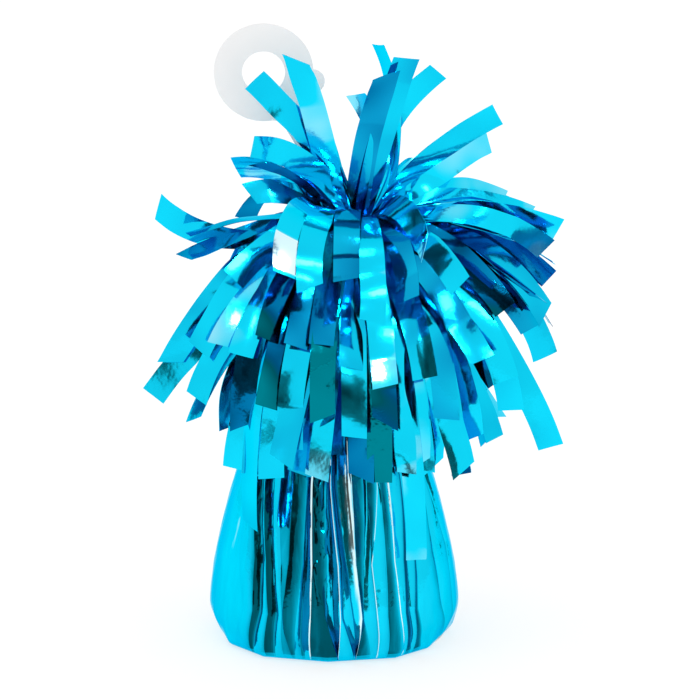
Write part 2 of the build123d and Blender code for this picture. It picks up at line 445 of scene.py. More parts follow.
@dataclass(frozen=True)
class Ribbon:
    """One foil strip from its fold at the neck to its free end.

    Attributes:
        bearing: direction in plan in which it leaves the neck.
        lift: slope at the fold, in degrees above level.
        tip: slope at the free end.
        length: free length in millimetres.
        show: share of the turn that would bring its free end square on to the front.
        turn: how far its face turns further about its length.
        drift: how far its course swings sideways in plan along its length.
        lag: above 1, most of the bend comes late, below 1 early.
        tone: painted reflection and shade tone, from -0.1, teal, over 0, dark teal, and 0.1, deep blue, to
            0.8, light; without one it is left to chance. A higher one makes up for the painted shade at
            the root.
        glint: shares of the free length between which a painted white highlight shines.
        end: place of the free end in millimetres, where it has one of its own.
    """

    bearing: float
    lift: float
    tip: float
    length: float
    show: float = 0.0
    turn: float = 0.0
    drift: float = 0.0
    lag: float = 1.0
    tone: float | None = None
    glint: tuple[float, float] | None = None
    end: Place | None = None

    least_arch: ClassVar[float] = 0.1

    @classmethod
    def to_end(
        cls,
        x: float,
        y: float,
        z: float,
        arch: float,
        bearing: float | None = None,
        show: float = 1.0,
        **more: object,
    ) -> "Ribbon":
        """A ribbon by the place of its free end.

        Args:
            x, y, z: the free end's place in millimetres.
            arch: how far it leaves the neck above the straight line to its end, in degrees.
            bearing: direction in which it leaves the neck, if not straight to its end.
            show: see the class.
            more: further values of the class.

        Returns:
            The ribbon.
        """
        reach = math.hypot(x - NECK_LEAN, y) - LEG_RADIUS
        rise = z - MOUTH_HEIGHT
        slope = math.degrees(math.atan2(rise, reach))
        bow = math.radians(max(abs(arch), cls.least_arch))
        if bearing is None:
            bearing = math.degrees(math.atan2(y, x - NECK_LEAN))
        return cls(
            bearing=bearing,
            lift=slope + arch,
            tip=slope - arch,
            length=math.hypot(reach, rise) * bow / math.sin(bow),
            show=show,
            end=(x, y, z),
            **more,
        )

    def slope(self, share: float) -> float:
        """Slope of the strip at a share of its free length, in degrees."""
        return lerp(self.lift, self.tip, share**self.lag)

    def ahead(self, share: float, slope: float) -> Vector:
        """Direction of the strip where it has a slope, at a share of its free length."""
        return sloping(self.bearing + self.drift * share * share, slope)

    def full_turn(self) -> float:
        """How far the face has turned at the free end, in degrees."""
        ahead = self.ahead(1.0, self.tip)
        across = Vector((0.0, 0.0, 1.0)).cross(ahead).normalized()
        normal = ahead.cross(across)
        front = Vector((0.0, -1.0, 0.0))
        square = math.degrees(math.atan2(-front.dot(across), front.dot(normal)))
        square = (square + UPRIGHT) % (2 * UPRIGHT) - UPRIGHT
        return self.show * square + self.turn


class Wave(Enum):
    """Unevenness along a strip: its waves per millimetre and its layer of the noise."""

    BEND = (0.11, 3.1)
    ROLL = (0.07, 11.3)
    RUN = (0.1, 7.7)
    SIDE = (0.08, 4.9)

    def at(self, along: float, seed: float) -> float:
        """Its value at a distance along the strip of a seed, from -1 to 1."""
        waves, layer = self.value
        return noise.noise(Vector((along * waves, seed, layer)))


class Trait(Enum):
    """Unevenness of a whole strip, by its layer of the noise."""

    CUP = (5.5, 2.2)
    SLANT = (8.8, 1.4)

    def of(self, seed: float) -> float:
        """Its value for the strip of a seed, mostly from -1 to 1."""
        return noise.noise(Vector((seed, *self.value))) * 2.0


@dataclass(frozen=True)
class RibbonShaper:
    """Lays one ribbon as a narrow strip of faces that bends, turns and kinks like film.

    Attributes:
        ply: number of the ply, counted from the middle of the neck.
        rows: cells along the ribbon.
        columns: cells across it.
        settle: from where to where the slope at the neck goes over into the ribbon's own, in millimetres
            past the fold.
        full_width: distance past the fold at which the ribbon has its full width, in millimetres.
        pull: power by which a ribbon is drawn to an end of its own, more of it far from the fold.
        wobble: uneven bending along the ribbon, in degrees.
        kink: sharpest cross fold, in degrees.
        kink_places: shares of the free length between which the cross folds start.
        kink_reaches: how far the two cross folds reach each way, in shares of the free length.
        roll: uneven turning about its length, in degrees.
        cup: height of the cross-section's bow in millimetres.
        slant: how far the corners of a free end are cut out of square, in millimetres.
        slant_reach: length of the strip over which the slant builds up, in millimetres.
        kink_tone: how far the painted reflection tone changes at the sharpest cross fold.
        root_shade: how much darker the strip is at the neck, as painted shade.
        root_reach: from where to where that painted shade fades, in millimetres past the fold.
        root_step: how much further that goes in each next ply.
        run_tone: how far the painted reflection tone runs lighter and darker along the strip.
        side_tone: how far one side of the strip is painted lighter than its middle, as a painted
            reflection.
        chance_tones: tones between which a strip without one of its own falls.
        tone_limits: darkest and lightest tone of a strip apart from its painted white highlight.
    """

    ply: int
    rows: int = 72
    columns: int = 4
    settle: tuple[float, float] = (-1.0, 2.0)
    full_width: float = 1.0
    pull: float = 1.5
    wobble: float = 5.0
    kink: float = 16.0
    kink_places: tuple[float, float] = (0.15, 0.85)
    kink_reaches: tuple[float, float] = (0.12, 0.012)
    roll: float = 8.0
    cup: float = 0.35
    slant: float = 1.6
    slant_reach: float = 6.0
    kink_tone: float = 0.22
    root_shade: float = 0.22
    root_reach: tuple[float, float] = (2.0, 18.0)
    root_step: float = 3.5
    run_tone: float = 0.2
    side_tone: float = 0.16
    chance_tones: tuple[float, float] = (0.1, 0.8)
    tone_limits: tuple[float, float] = (-0.1, 0.8)

    def kinked(self, seed: float, share: float) -> float:
        """Size of the cross folds passed at a share of a strip's free length, each from -1 to 1."""
        chance = Random(seed)
        passed = 0.0
        for reach in self.kink_reaches:
            start, size = chance.uniform(*self.kink_places), chance.uniform(-1, 1)
            passed += size * ease(start - reach, start + reach, share)
        return passed

    def course(self, ribbon: Ribbon, seed: float) -> list[tuple[Vector, Vector, Vector]]:
        """Places along the ribbon's middle line.

        Args:
            ribbon: the strip to lay.
            seed: where in the noise its unevenness is read.

        Returns:
            For each row its place in millimetres, the direction across and the face's normal.
        """
        leg = self.leg_length()
        step = (leg + ribbon.length) / self.rows
        place = Vector((NECK_LEAN, 0.0, NECK_FOOT)) + in_plan(ribbon.bearing) * self.leg_radius()
        stations = []
        for row in range(self.rows + 1):
            along = row * step
            past = along - leg
            share = max(0.0, past) / ribbon.length
            flared = ease(-FLARE_LENGTH, self.settle[0], past)
            settled = ease(*self.settle, past)
            flare = lerp(UPRIGHT, max(FLARE_SLOPE, ribbon.lift), flared)
            slope = lerp(flare, ribbon.slope(share), settled)
            slope += self.wobble * Wave.BEND.at(along, seed) * settled
            slope += self.kink * self.kinked(seed, share)
            ahead = ribbon.ahead(share, slope)
            across = in_plan(ribbon.bearing + ribbon.drift * share * share + UPRIGHT)
            face_turn = ribbon.full_turn() * share * (2 - share)
            face_turn += self.roll * share * Wave.ROLL.at(along, seed)
            across = Matrix.Rotation(math.radians(face_turn), 3, ahead) @ across
            stations.append((place.copy(), across, ahead.cross(across).normalized(), share))
            place = place + ahead * step
        miss = Vector(ribbon.end) - stations[-1][0] if ribbon.end else Vector()
        return [
            (spot + miss * share**self.pull, across, normal) for spot, across, normal, share in stations
        ]

    def leg_radius(self) -> float:
        """Distance of the strips' legs from the neck's axis, in millimetres."""
        return LEG_RADIUS + self.ply * PLY_PITCH

    def leg_length(self) -> float:
        """Length of the strips' legs from the foot of the neck to the fold, in millimetres."""
        return MOUTH_HEIGHT - self.ply * PLY_DROP - NECK_FOOT

    def lay(self, shape: bmesh.types.BMesh, ribbon: Ribbon, seed: float, gap: float) -> None:
        """Add one ribbon to a bmesh.

        Args:
            shape: the bmesh that collects the ply's strips.
            ribbon: the strip to lay.
            seed: its place in the noise, which also sets its tone.
            gap: half the angle in plan that the strip may take up at the neck, in degrees.
        """
        tone = shape.verts.layers.float.get("tone") or shape.verts.layers.float.new("tone")
        grid = bmesh.ops.create_grid(
            shape, x_segments=self.columns, y_segments=self.rows, size=1.0, calc_uvs=True
        )
        stations = self.course(ribbon, seed)
        leg = self.leg_length()
        step = (leg + ribbon.length) / self.rows
        gathered = self.leg_radius() * math.tan(math.radians(gap))
        bow = self.cup * Trait.CUP.of(seed)
        slant = self.slant * Trait.SLANT.of(seed)
        for vert in grid["verts"]:
            row = round((vert.co.y + 1) / 2 * self.rows)
            side = vert.co.x
            past = row * step - leg
            vert[tone] = self.shade(ribbon, seed, past, side)
            place, across, normal = stations[row]
            half = lerp(gathered, STRIP_WIDTH / 2, ease(-FLARE_LENGTH, self.full_width, past))
            cut = slant * ease(ribbon.length - self.slant_reach, ribbon.length, past)
            place = place + across.cross(normal) * side * cut
            vert.co = (place + across * side * half + normal * bow * (1 - side * side)) * MM

    def shade(self, ribbon: Ribbon, seed: float, past: float, side: float) -> float:
        """Painted tone of a strip at one point: it changes at the cross folds as a painted reflection and
        is darker at the neck as painted shade.

        Args:
            ribbon: the strip.
            seed: its place in the noise.
            past: distance past its fold, in millimetres.
            side: place across it, from -1 to 1.

        Returns:
            The tone, as in Ribbon, or 1 in a painted white highlight.
        """
        share = past / ribbon.length
        # Painted white highlight between the shares of glint.
        if ribbon.glint and ribbon.glint[0] < share < ribbon.glint[1]:
            return PAINTED_HIGHLIGHT_TONE
        tone = ribbon.tone
        if tone is None:
            tone = Random(seed + TONE_SEED).uniform(*self.chance_tones)
        root_start, root_end = self.root_reach
        # Painted reflection changes at the cross folds, and painted shade darkens the root.
        tone += self.kink_tone * self.kinked(seed, share)
        tone -= self.root_shade * (1 - ease(root_start, root_end + self.root_step * self.ply, past))
        # Painted reflection gradients along the strip and across it.
        tone += self.run_tone * Wave.RUN.at(past, seed)
        tone += self.side_tone * side * Wave.SIDE.at(past, seed)
        darkest, lightest = self.tone_limits
        return min(max(tone, darkest), lightest)


@dataclass(frozen=True)
class FringePly:
    """One slit ply of the fringe: an even ring of strips, and single strips that stand out.

    Attributes:
        node: name of the CAD node that it takes the place of.
        number: number of the ply, counted from the middle of the neck.
        strips: number of strips in the ring.
        lift, tip, length: the ring's middle values, as in Ribbon.
        lift_spread, tip_spread, length_spread: how far single strips depart from them.
        show: share of the turn that would bring a strip's free end square on to the front.
        turn_spread: how far single strips turn their face.
        drift_spread: how far single strips swing sideways.
        phase: share of a pitch by which the ring is turned.
        lean: how much higher the ring's strips stand on the right than in the middle, in degrees.
        clear: bearings between which the ring leaves room for the single strips.
        singles: strips with places of their own.
        stray: how far a strip of the ring strays from its even place, in pitches.
        show_range: how many times show a strip of the ring takes.
        lag_range: lag of the ring's strips.
        fewest: number of strips that would fill the neck at least.
        crease: angle in degrees past which a fold is shaded sharp.
    """

    node: str
    number: int
    strips: int = 0
    lift: float = 0.0
    tip: float = 0.0
    length: float = 0.0
    lift_spread: float = 0.0
    tip_spread: float = 0.0
    length_spread: float = 0.0
    show: float = 0.5
    turn_spread: float = 0.0
    drift_spread: float = 0.0
    phase: float = 0.0
    lean: float = 0.0
    clear: tuple[float, float] = (0.0, 0.0)
    singles: tuple[Ribbon, ...] = ()
    stray: float = 0.4
    show_range: tuple[float, float] = (0.3, 1.3)
    lag_range: tuple[float, float] = (0.8, 1.25)
    fewest: int = 14
    crease: float = 9.0

    def ring(self) -> list[Ribbon]:
        """The strips of the even ring, each bent a little differently."""
        chance = Random(self.node)
        ribbons = []
        for number in range(self.strips):
            place = number + self.phase + chance.uniform(-self.stray, self.stray)
            bearing = FULL_TURN * place / self.strips
            lean = self.lean * math.cos(math.radians(bearing))
            ribbon = Ribbon(
                bearing=bearing,
                lift=self.lift + lean + chance.uniform(-1, 1) * self.lift_spread,
                tip=self.tip + lean + chance.uniform(-1, 1) * self.tip_spread,
                length=self.length + chance.uniform(-1, 1) * self.length_spread,
                show=self.show * chance.uniform(*self.show_range),
                turn=chance.uniform(-1, 1) * self.turn_spread,
                drift=chance.uniform(-1, 1) * self.drift_spread,
                lag=chance.uniform(*self.lag_range),
            )
            if not self.clear[0] < bearing < self.clear[1]:
                ribbons.append(ribbon)
        return ribbons

    def build(self, foil: bpy.types.Material) -> bpy.types.Object:
        """Make the ply as one piece, attach it to the weight's body and hide the CAD node that it takes
        the place of.

        Args:
            foil: the film's material.

        Returns:
            The piece.
        """
        shaper = RibbonShaper(self.number)
        ribbons = self.ring() + list(self.singles)
        gap = FULL_TURN / 2 / max(len(ribbons), self.fewest)
        shape = bmesh.new()
        shape.loops.layers.uv.new("UVMap")
        for number, ribbon in enumerate(ribbons):
            shaper.lay(shape, ribbon, PLY_SEED * self.number + STRIP_SEED * number, gap)
        bmesh.ops.recalc_face_normals(shape, faces=shape.faces)
        piece = finish_mesh(f"foil_{self.node}", shape, foil, self.crease)
        thicken(piece, FILM_THICKNESS, 0.0)
        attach(piece, WEIGHT_BODY)
        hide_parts(self.node)
        return piece


@dataclass(frozen=True)
class Fold:
    """One fold line up the wrapper and the facet on its right.

    Attributes:
        places: where the line runs at four levels, from the foot up: on the front in millimetres to the
            right of the middle, on the back in degrees to the right of the front.
        tone: painted reflection and shade tone of the facet, from 0, a painted dark reflection, to 1, a
            painted white highlight.
        on_front: whether the places are those of the front.
        crumple: how unevenly the facet is crumpled, in millimetres.
        levels, level_radii: heights of the four levels, and the wall's radius there, in millimetres.
    """

    places: tuple[float, float, float, float]
    tone: float
    on_front: bool = True
    crumple: float = 0.05

    levels: ClassVar[tuple[float, ...]] = (2.0, 12.0, 24.5, 43.0)
    level_radii: ClassVar[tuple[float, ...]] = (29.4, 30.2, 28.0, 23.4)

    def bearing(self, height: float) -> float:
        """Bearing of the line at a height, in degrees to the right of the front."""
        turns = self.places
        if self.on_front:
            shares = [place / radius for place, radius in zip(self.places, self.level_radii)]
            turns = [math.degrees(math.asin(share)) for share in shares]
        steps = zip(self.levels, self.levels[1:], turns, turns[1:])
        for low, high, turn, next_turn in steps:
            if height <= high:
                return lerp(turn, next_turn, max(0.0, height - low) / (high - low))
        return turns[-1]


@dataclass(frozen=True)
class FoilWrapper:
    """The sheet of foil round the tub: flat under the foot, pleated up the wall, drawn in at the neck.

    Attributes:
        profile: share of the sheet from the middle of the foot to the neck, radius and height.
        front: the folds that face the front, from left to right.
        corners: corners of the foot's outline, as degrees to the right of the front and radius.
        seed: seed of the folds round the back.
        back_folds: number of folds round the back.
        back_tones: painted reflection tones of their facets, one after the other and again from the first.
        back_stray: how far they stray from an even spacing, in pitches.
        back_sway: how far each sways to the side from level to level, in degrees.
        back_crumple: how unevenly their facets are crumpled, in millimetres.
        dark: tone below which a facet counts as dark.
        ridge, valley: how far a fold stands out before a dark facet, and in after it.
        bow: how far a facet bows out or in between its folds.
        crumple_waves: waves of the crumpling per degree round the wall and per millimetre up it.
        crumple_layer: its layer of the noise.
        pleat_height: height in millimetres at which the folds have their full depth.
        pleat_radius: radius in millimetres inside which they grow shallower.
        foot_radius: radius that the foot's profile stands for, in millimetres.
        foot_inside: radius of the underside that the outline leaves round, in millimetres.
        foot_height: height in millimetres up to which the outline shows.
        foot_tone: painted reflection tone of the underside and the bottom edge, a bright band.
        foot_edge: heights in millimetres between which that goes over into the facets' tones.
        lean_heights: heights in millimetres between which the body starts and ends leaning to the neck.
        soft: how far a facet's painted tone runs into that of the next one, as a painted reflection
            gradient.
        cell: width of the mesh's cells across a facet, in millimetres.
        rows: cells up the sheet.
        crease: angle in degrees past which a fold is shaded sharp.
        flat: the sheet's flat size in metres; not used.
    """

    profile: tuple[tuple[float, float, float], ...] = (
        (0.00, 0.3, 0.0),
        (0.13, 26.0, 0.0),
        (0.16, 28.4, 0.7),
        (0.19, 29.6, 3.0),
        (0.26, 30.5, 8.0),
        (0.36, 29.4, 18.0),
        (0.46, 27.3, 28.0),
        (0.56, 24.7, 38.0),
        (0.72, 19.2, 56.0),
        (0.86, 12.2, 76.0),
        (0.95, 6.6, 93.0),
        (1.00, 6.4, 100.0),
    )
    # Each fold's tone paints the reflection and shade of the facet on its right; 1.00 is a painted white
    # highlight.
    front: tuple[Fold, ...] = (
        Fold((-108, -106, -107, -105), 0.62, on_front=False),
        Fold((-28.6, -29.2, -27.0, -22.6), 0.66),
        Fold((-28.1, -27.5, -26.0, -21.4), 0.72),
        Fold((-23.7, -21.9, -22.8, -20.1), 0.62),
        Fold((-20.1, -19.4, -18.8, -18.4), 0.00, crumple=0.2),
        Fold((-19.4, -17.9, -17.3, -17.5), 0.65),
        Fold((-16.4, -15.7, -16.1, -16.4), 0.00, crumple=0.2),
        Fold((-14.4, -13.9, -14.8, -15.0), 0.60),
        Fold((-12.5, -12.6, -12.7, -12.9), 0.30),
        Fold((-10.5, -12.2, -10.8, -9.7), 0.08),
        Fold((-9.7, -9.2, -7.6, -6.5), 0.50),
        Fold((-8.0, -7.8, -6.8, -6.1), 0.20),
        Fold((-7.3, -7.2, -6.4, -5.9), 0.60),
        Fold((-6.0, -5.8, -5.5, -5.5), 1.00),
        Fold((-5.7, -5.5, -5.1, -5.1), 0.08),
        Fold((0.8, -2.0, -5.0, -5.0), 0.05, crumple=0.6),
        Fold((0.8, -2.0, -1.6, -2.0), 0.65),
        Fold((1.0, -0.2, -0.6, -1.7), 0.20),
        Fold((1.1, 0.1, 0.0, -1.2), 0.70),
        Fold((1.1, 1.5, 0.9, -0.9), 1.00),
        Fold((1.2, 1.8, 1.3, -0.7), 0.70),
        Fold((4.8, 2.0, 1.5, -0.5), 0.15),
        Fold((5.0, 2.4, 2.0, -0.2), 0.62),
        Fold((5.3, 4.5, 2.7, 0.3), 0.10),
        Fold((5.4, 4.8, 3.1, 0.8), 0.72),
        Fold((5.5, 6.5, 4.9, 3.2), 1.00),
        Fold((5.6, 6.8, 5.3, 4.3), 0.08),
        Fold((9.2, 7.2, 7.3, 7.4), 0.62),
        Fold((10.6, 10.3, 8.9, 7.9), 0.05),
        Fold((10.6, 10.3, 8.9, 10.3), 1.00),
        Fold((10.9, 10.6, 9.2, 10.5), 0.70),
        Fold((13.0, 12.9, 12.4, 10.9), 0.10),
        Fold((16.4, 15.8, 14.3, 12.6), 1.00),
        Fold((16.8, 16.2, 14.7, 13.3), 0.65),
        Fold((17.3, 17.1, 16.5, 15.7), 0.05),
        Fold((18.9, 18.4, 17.9, 16.6), 0.60),
        Fold((19.4, 19.3, 19.1, 18.8), 0.00),
        Fold((21.5, 20.7, 20.1, 19.5), 0.66),
        Fold((26.5, 25.4, 23.2, 20.6), 0.10, crumple=0.15),
        Fold((26.6, 26.3, 24.3, 20.9), 0.66),
        Fold((27.5, 28.2, 26.5, 21.2), 0.10, crumple=0.15),
        Fold((27.6, 28.5, 27.1, 21.6), 0.64),
        Fold((28.6, 29.3, 27.4, 22.6), 0.60),
        Fold((106, 108, 105, 107), 0.60, on_front=False),
    )
    corners: tuple[tuple[float, float], ...] = (
        (-98, 28.6), (-62, 29.0), (-36, 29.8), (-3, 28.6), (31, 29.4), (54, 28.8),
        (90, 28.6), (126, 28.6), (160, 28.6), (195, 28.6), (230, 28.6), (262, 28.6),
    )
    seed: int = 17
    back_folds: int = 44
    back_tones: tuple[float, ...] = (0.05, 0.6, 0.3, 0.7, 0.1, 0.65, 0.6, 0.15, 0.7)
    back_stray: float = 0.32
    back_sway: float = 0.8
    back_crumple: float = 0.1
    dark: float = 0.25
    ridge: float = 0.4
    valley: float = -0.6
    bow: float = 0.15
    crumple_waves: tuple[float, float] = (0.3, 0.25)
    crumple_layer: float = 5.0
    pleat_height: float = 4.0
    pleat_radius: float = 16.0
    foot_radius: float = 28.7
    foot_inside: float = 20.0
    foot_height: float = 9.0
    foot_tone: float = 0.65
    foot_edge: tuple[float, float] = (0.6, 1.8)
    lean_heights: tuple[float, float] = (50.0, 95.0)
    soft: float = 0.7
    cell: float = 0.45
    rows: int = 80
    crease: float = 30.0
    flat: tuple[float, float] = (0.180, 0.120)

    def folds(self) -> list[Fold]:
        """All folds round the sheet, from the left of the front, with the first again at the end."""
        chance = Random(self.seed)
        folds = list(self.front)
        start, end = folds[-1].bearing(0.0), folds[0].bearing(0.0) + FULL_TURN
        for number in range(1, self.back_folds):
            stray = chance.uniform(-self.back_stray, self.back_stray)
            middle = lerp(start, end, (number + stray) / self.back_folds)
            places = tuple(middle + chance.uniform(-self.back_sway, self.back_sway) for _ in Fold.levels)
            tone = self.back_tones[number % len(self.back_tones)]
            folds.append(Fold(places, tone, on_front=False, crumple=self.back_crumple))
        first = tuple(folds[0].bearing(level) + FULL_TURN for level in Fold.levels)
        folds.append(Fold(first, folds[0].tone, on_front=False))
        return folds

    def stand(self, before: Fold, fold: Fold) -> float:
        """How far a fold stands out, in millimetres, by the facets on its two sides."""
        if fold.tone < self.dark or fold.tone == PAINTED_HIGHLIGHT_TONE:
            return self.ridge
        return self.valley if before.tone < self.dark else 0.0

    def rim(self, bearing: float) -> float:
        """Radius of the foot's outline at a bearing: straight from corner to corner."""
        first, first_radius = self.corners[0]
        turn = (bearing - first) % FULL_TURN + first
        ring = (*self.corners, (first + FULL_TURN, first_radius))
        for (low, near), (high, far) in zip(ring, ring[1:]):
            if low <= turn <= high:
                span, part = math.radians(high - low), math.radians(turn - low)
                return near * far * math.sin(span) / (near * math.sin(part) + far * math.sin(span - part))
        return first_radius

    def station(self, share: float) -> tuple[float, float]:
        """Radius and height of the plain form at a share of the way up the sheet, on a smooth curve."""
        points = (self.profile[0], *self.profile, self.profile[-1])
        for before, low, high, after in zip(points, points[1:], points[2:], points[3:]):
            if share <= high[0]:
                part = (share - low[0]) / (high[0] - low[0])
                return tuple(self.curve(before, low, high, after, axis, part) for axis in (1, 2))
        return self.profile[-1][1:]

    @staticmethod
    def curve(before: tuple, low: tuple, high: tuple, after: tuple, axis: int, part: float) -> float:
        """Smooth curve through four points of the profile, between the two in the middle."""
        span = high[0] - low[0]
        leave = (high[axis] - before[axis]) / (high[0] - before[0]) * span
        arrive = (after[axis] - low[axis]) / (after[0] - low[0]) * span
        square, cube = part * part, part**3
        return (
            (2 * cube - 3 * square + 1) * low[axis]
            + (cube - 2 * square + part) * leave
            + (3 * square - 2 * cube) * high[axis]
            + (cube - square) * arrive
        )

    def columns(self, folds: list[Fold]) -> list[tuple[int, float]]:
        """The mesh's columns, each as the number of its fold and the share of the way across the facet."""
        columns = []
        wall = max(radius for _, radius, _ in self.profile)
        for number, (fold, after) in enumerate(zip(folds, folds[1:])):
            widest = max(after.bearing(level) - fold.bearing(level) for level in Fold.levels)
            cells = max(2, round(math.radians(widest) * wall / self.cell))
            columns += [(number, cell / cells) for cell in range(cells)]
        return [*columns, (len(folds) - 2, 1.0)]

    def spot(self, folds: list[Fold], column: tuple[int, float], share: float) -> Vector:
        """Place of one vertex of the sheet in millimetres.

        Args:
            folds: all folds round the sheet.
            column: the number of its fold and the share of the way across the facet.
            share: the share of the way up the sheet.

        Returns:
            The place.
        """
        number, part = column
        before, fold, after = folds[number - 1], folds[number], folds[number + 1]
        radius, height = self.station(share)
        height = max(height, 0.0)
        bearing = lerp(fold.bearing(height), after.bearing(height), part)
        strength = ease(0.0, self.pleat_height, height) * min(1.0, radius / self.pleat_radius)
        swell = 4 * part * (1 - part)
        round_wall, up_wall = self.crumple_waves
        crumple = noise.noise(Vector((bearing * round_wall, height * up_wall, self.crumple_layer)))
        stand = lerp(self.stand(before, fold), self.stand(fold, after), part)
        stand += self.bow * swell * (1 if number % 2 else -1)
        stand += fold.crumple * crumple * swell * 2
        foot = 1.0
        if radius > self.foot_inside:
            foot = lerp(self.rim(bearing) / self.foot_radius, 1.0, ease(0.0, self.foot_height, height))
        lean = NECK_LEAN * ease(*self.lean_heights, height)
        out = in_plan(FRONT + bearing)
        return out * (radius * foot + stand * strength) + Vector((lean, 0.0, height))

    def build(self, foil: bpy.types.Material) -> bpy.types.Object:
        """Make the wrapper, attach it to the weight's body and hide the CAD wrapper.

        Args:
            foil: the film's material.

        Returns:
            The piece.
        """
        folds = self.folds()
        columns = self.columns(folds)
        across = len(columns) - 1
        shape = bmesh.new()
        shape.loops.layers.uv.new("UVMap")
        tone = shape.faces.layers.float.new("tone")
        grid = bmesh.ops.create_grid(
            shape, x_segments=across, y_segments=self.rows, size=1.0, calc_uvs=True
        )
        for face in shape.faces:
            middle = face.calc_center_median()
            number, part = columns[int((middle.x + 1) / 2 * across)]
            _, height = self.station((middle.y + 1) / 2)
            # Painted reflection and shade: each face takes its facet's tone, run into the next facet's,
            # and the foot's tone near the floor.
            shade = lerp(folds[number].tone, folds[number + 1].tone, self.soft * part**3)
            face[tone] = lerp(self.foot_tone, shade, ease(*self.foot_edge, height))
        for vert in grid["verts"]:
            column = columns[round((vert.co.x + 1) / 2 * across)]
            vert.co = self.spot(folds, column, (vert.co.y + 1) / 2) * MM
        bmesh.ops.remove_doubles(shape, verts=shape.verts, dist=MERGE_DISTANCE)
        bmesh.ops.dissolve_degenerate(shape, dist=MERGE_DISTANCE, edges=shape.edges)
        bmesh.ops.recalc_face_normals(shape, faces=shape.faces)
        piece = finish_mesh("foil_wrapper_sheet", shape, foil, self.crease)
        thicken(piece, FILM_THICKNESS, -1.0)
        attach(piece, WEIGHT_BODY)
        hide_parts("foil_wrapper")
        return piece


@dataclass(frozen=True)
class CorePieces:
    """The pieces that keep their CAD form, with their finishes.

    Attributes:
        plastic: finish of the tub and its cap.
        cement: finish of the filling.
        band: finish of the tie.
        sheet: finish of the tab and its tail.
    """

    plastic: PlainFinish = PlainFinish(
        "moulded_tub",
        dark=(0.55, 0.55, 0.53),
        light=(0.66, 0.66, 0.64),
        roughness=0.45,
        mottle_scale=40.0,
        grain_scale=700.0,
        grain=0.15,
    )
    cement: PlainFinish = PlainFinish(
        "cast_filling",
        dark=(0.33, 0.31, 0.28),
        light=(0.48, 0.46, 0.42),
        roughness=0.95,
        mottle_scale=120.0,
        grain_scale=900.0,
        grain=0.8,
    )
    band: PlainFinish = PlainFinish(
        "elastic_band",
        dark=(0.012, 0.13, 0.20),
        light=(0.025, 0.20, 0.29),
        roughness=0.6,
        mottle_scale=150.0,
        grain_scale=1200.0,
        grain=0.3,
    )
    sheet: TabFinish = TabFinish("milky_tab")

    def dress(self) -> list[bpy.types.Object]:
        """Give each CAD node its material.

        Returns:
            The dressed nodes.
        """
        wear = {
            self.plastic.make(): ("base_cap", "tub"),
            self.cement.make(): ("ballast",),
            self.band.make(): ("neck_tie",),
            self.sheet.make(): ("tab_tail", "hang_tab"),
        }
        dressed = []
        for material, names in wear.items():
            for name in names:
                node = bpy.data.objects[name]
                node.data.materials.clear()
                node.data.materials.append(material)
                dressed.append(node)
        return dressed


@dataclass(frozen=True)
class StudioFinish:
    """Matt surface of the studio with a soft change of tone across it.

    Attributes:
        name: the material's name.
        dark, light: the ends of its tone.
        ends: where the noise reaches them.
        scale: how fine the change is.
        roughness: how matt it is.
        glow: light of its own.
    """

    name: str
    dark: Colour
    light: Colour
    ends: tuple[float, float] = (0.35, 0.65)
    scale: float = 4.0
    roughness: float = 0.9
    glow: float = 0.0

    def make(self) -> bpy.types.Material:
        """Build the material."""
        material, graph = new_material(self.name)
        cloud = graph.cloud(graph.place(), self.scale)
        graph.surface(
            {
                "Base Color": graph.ramp(cloud, tuple(zip(self.ends, (self.dark, self.light)))),
                "Roughness": self.roughness,
                "Emission Color": (1.0, 1.0, 1.0, 1.0),
                "Emission Strength": self.glow,
            }
        )
        return material


@dataclass(frozen=True)
class Card:
    """A dark card of the studio: only the mirror of the foil shows it.

    Attributes:
        name: the card's name.
        bearing: direction of its middle in plan, in degrees to the right of the camera.
        climb: elevation of its middle.
        distance: how far away it is, in metres.
        width, height: its size in metres; a lying card's height runs away from the object.
        stance: whether it stands facing the object or lies on the floor.
        blue: whether it is of blue card instead of grey.
        lift: how far above the floor a lying card is, in metres.
    """

    name: str
    bearing: float
    climb: float
    distance: float
    width: float
    height: float
    stance: Stance = Stance.STANDING
    blue: bool = False
    lift: float = 0.0005

    def place(self, material: bpy.types.Material) -> None:
        """Set the card up.

        Args:
            material: its finish.
        """
        out = sloping(FRONT + self.bearing, self.climb)
        if self.stance is Stance.LYING:
            middle = out * self.distance + Vector((0.0, 0.0, self.lift))
            turn = Matrix.Rotation(math.radians(self.bearing), 4, "Z")
        else:
            middle = out * self.distance + Vector((0.0, 0.0, AIM_HEIGHT))
            turn = (-out).to_track_quat("Z", "Y").to_matrix().to_4x4()
        size = Matrix.Diagonal((self.width / 2, self.height / 2, 1.0, 1.0))
        shape = bmesh.new()
        spot = Matrix.Translation(middle) @ turn @ size
        bmesh.ops.create_grid(shape, x_segments=1, y_segments=1, size=1.0, matrix=spot)
        card = finish_mesh(self.name, shape, material, UNCREASED)
        card.visible_camera = False
        card.visible_diffuse = False
        card.visible_transmission = False
        card.visible_shadow = False


@dataclass(frozen=True)
class Lamp:
    """A square lamp that faces the object and shows only in its mirrors.

    Attributes:
        name: the lamp's name.
        bearing: its direction in plan, in degrees to the right of the camera.
        climb: its elevation in degrees.
        distance: how far away it hangs, in metres.
        size: length of its side in metres.
        radiance: brightness of its face.
    """

    name: str
    bearing: float
    climb: float
    distance: float
    size: float
    radiance: float

    def hang(self) -> None:
        """Hang the lamp."""
        data = bpy.data.lights.new(self.name, "AREA")
        data.shape = "SQUARE"
        data.size = self.size
        data.energy = self.radiance * self.size * self.size * math.pi
        out = sloping(FRONT + self.bearing, self.climb)
        lamp = bpy.data.objects.new(self.name, data)
        lamp.location = out * self.distance + Vector((0.0, 0.0, AIM_HEIGHT))
        lamp.rotation_mode = "QUATERNION"
        lamp.rotation_quaternion = (-out).to_track_quat("-Z", "Y")
        lamp.visible_diffuse = False
        bpy.context.scene.collection.objects.link(lamp)


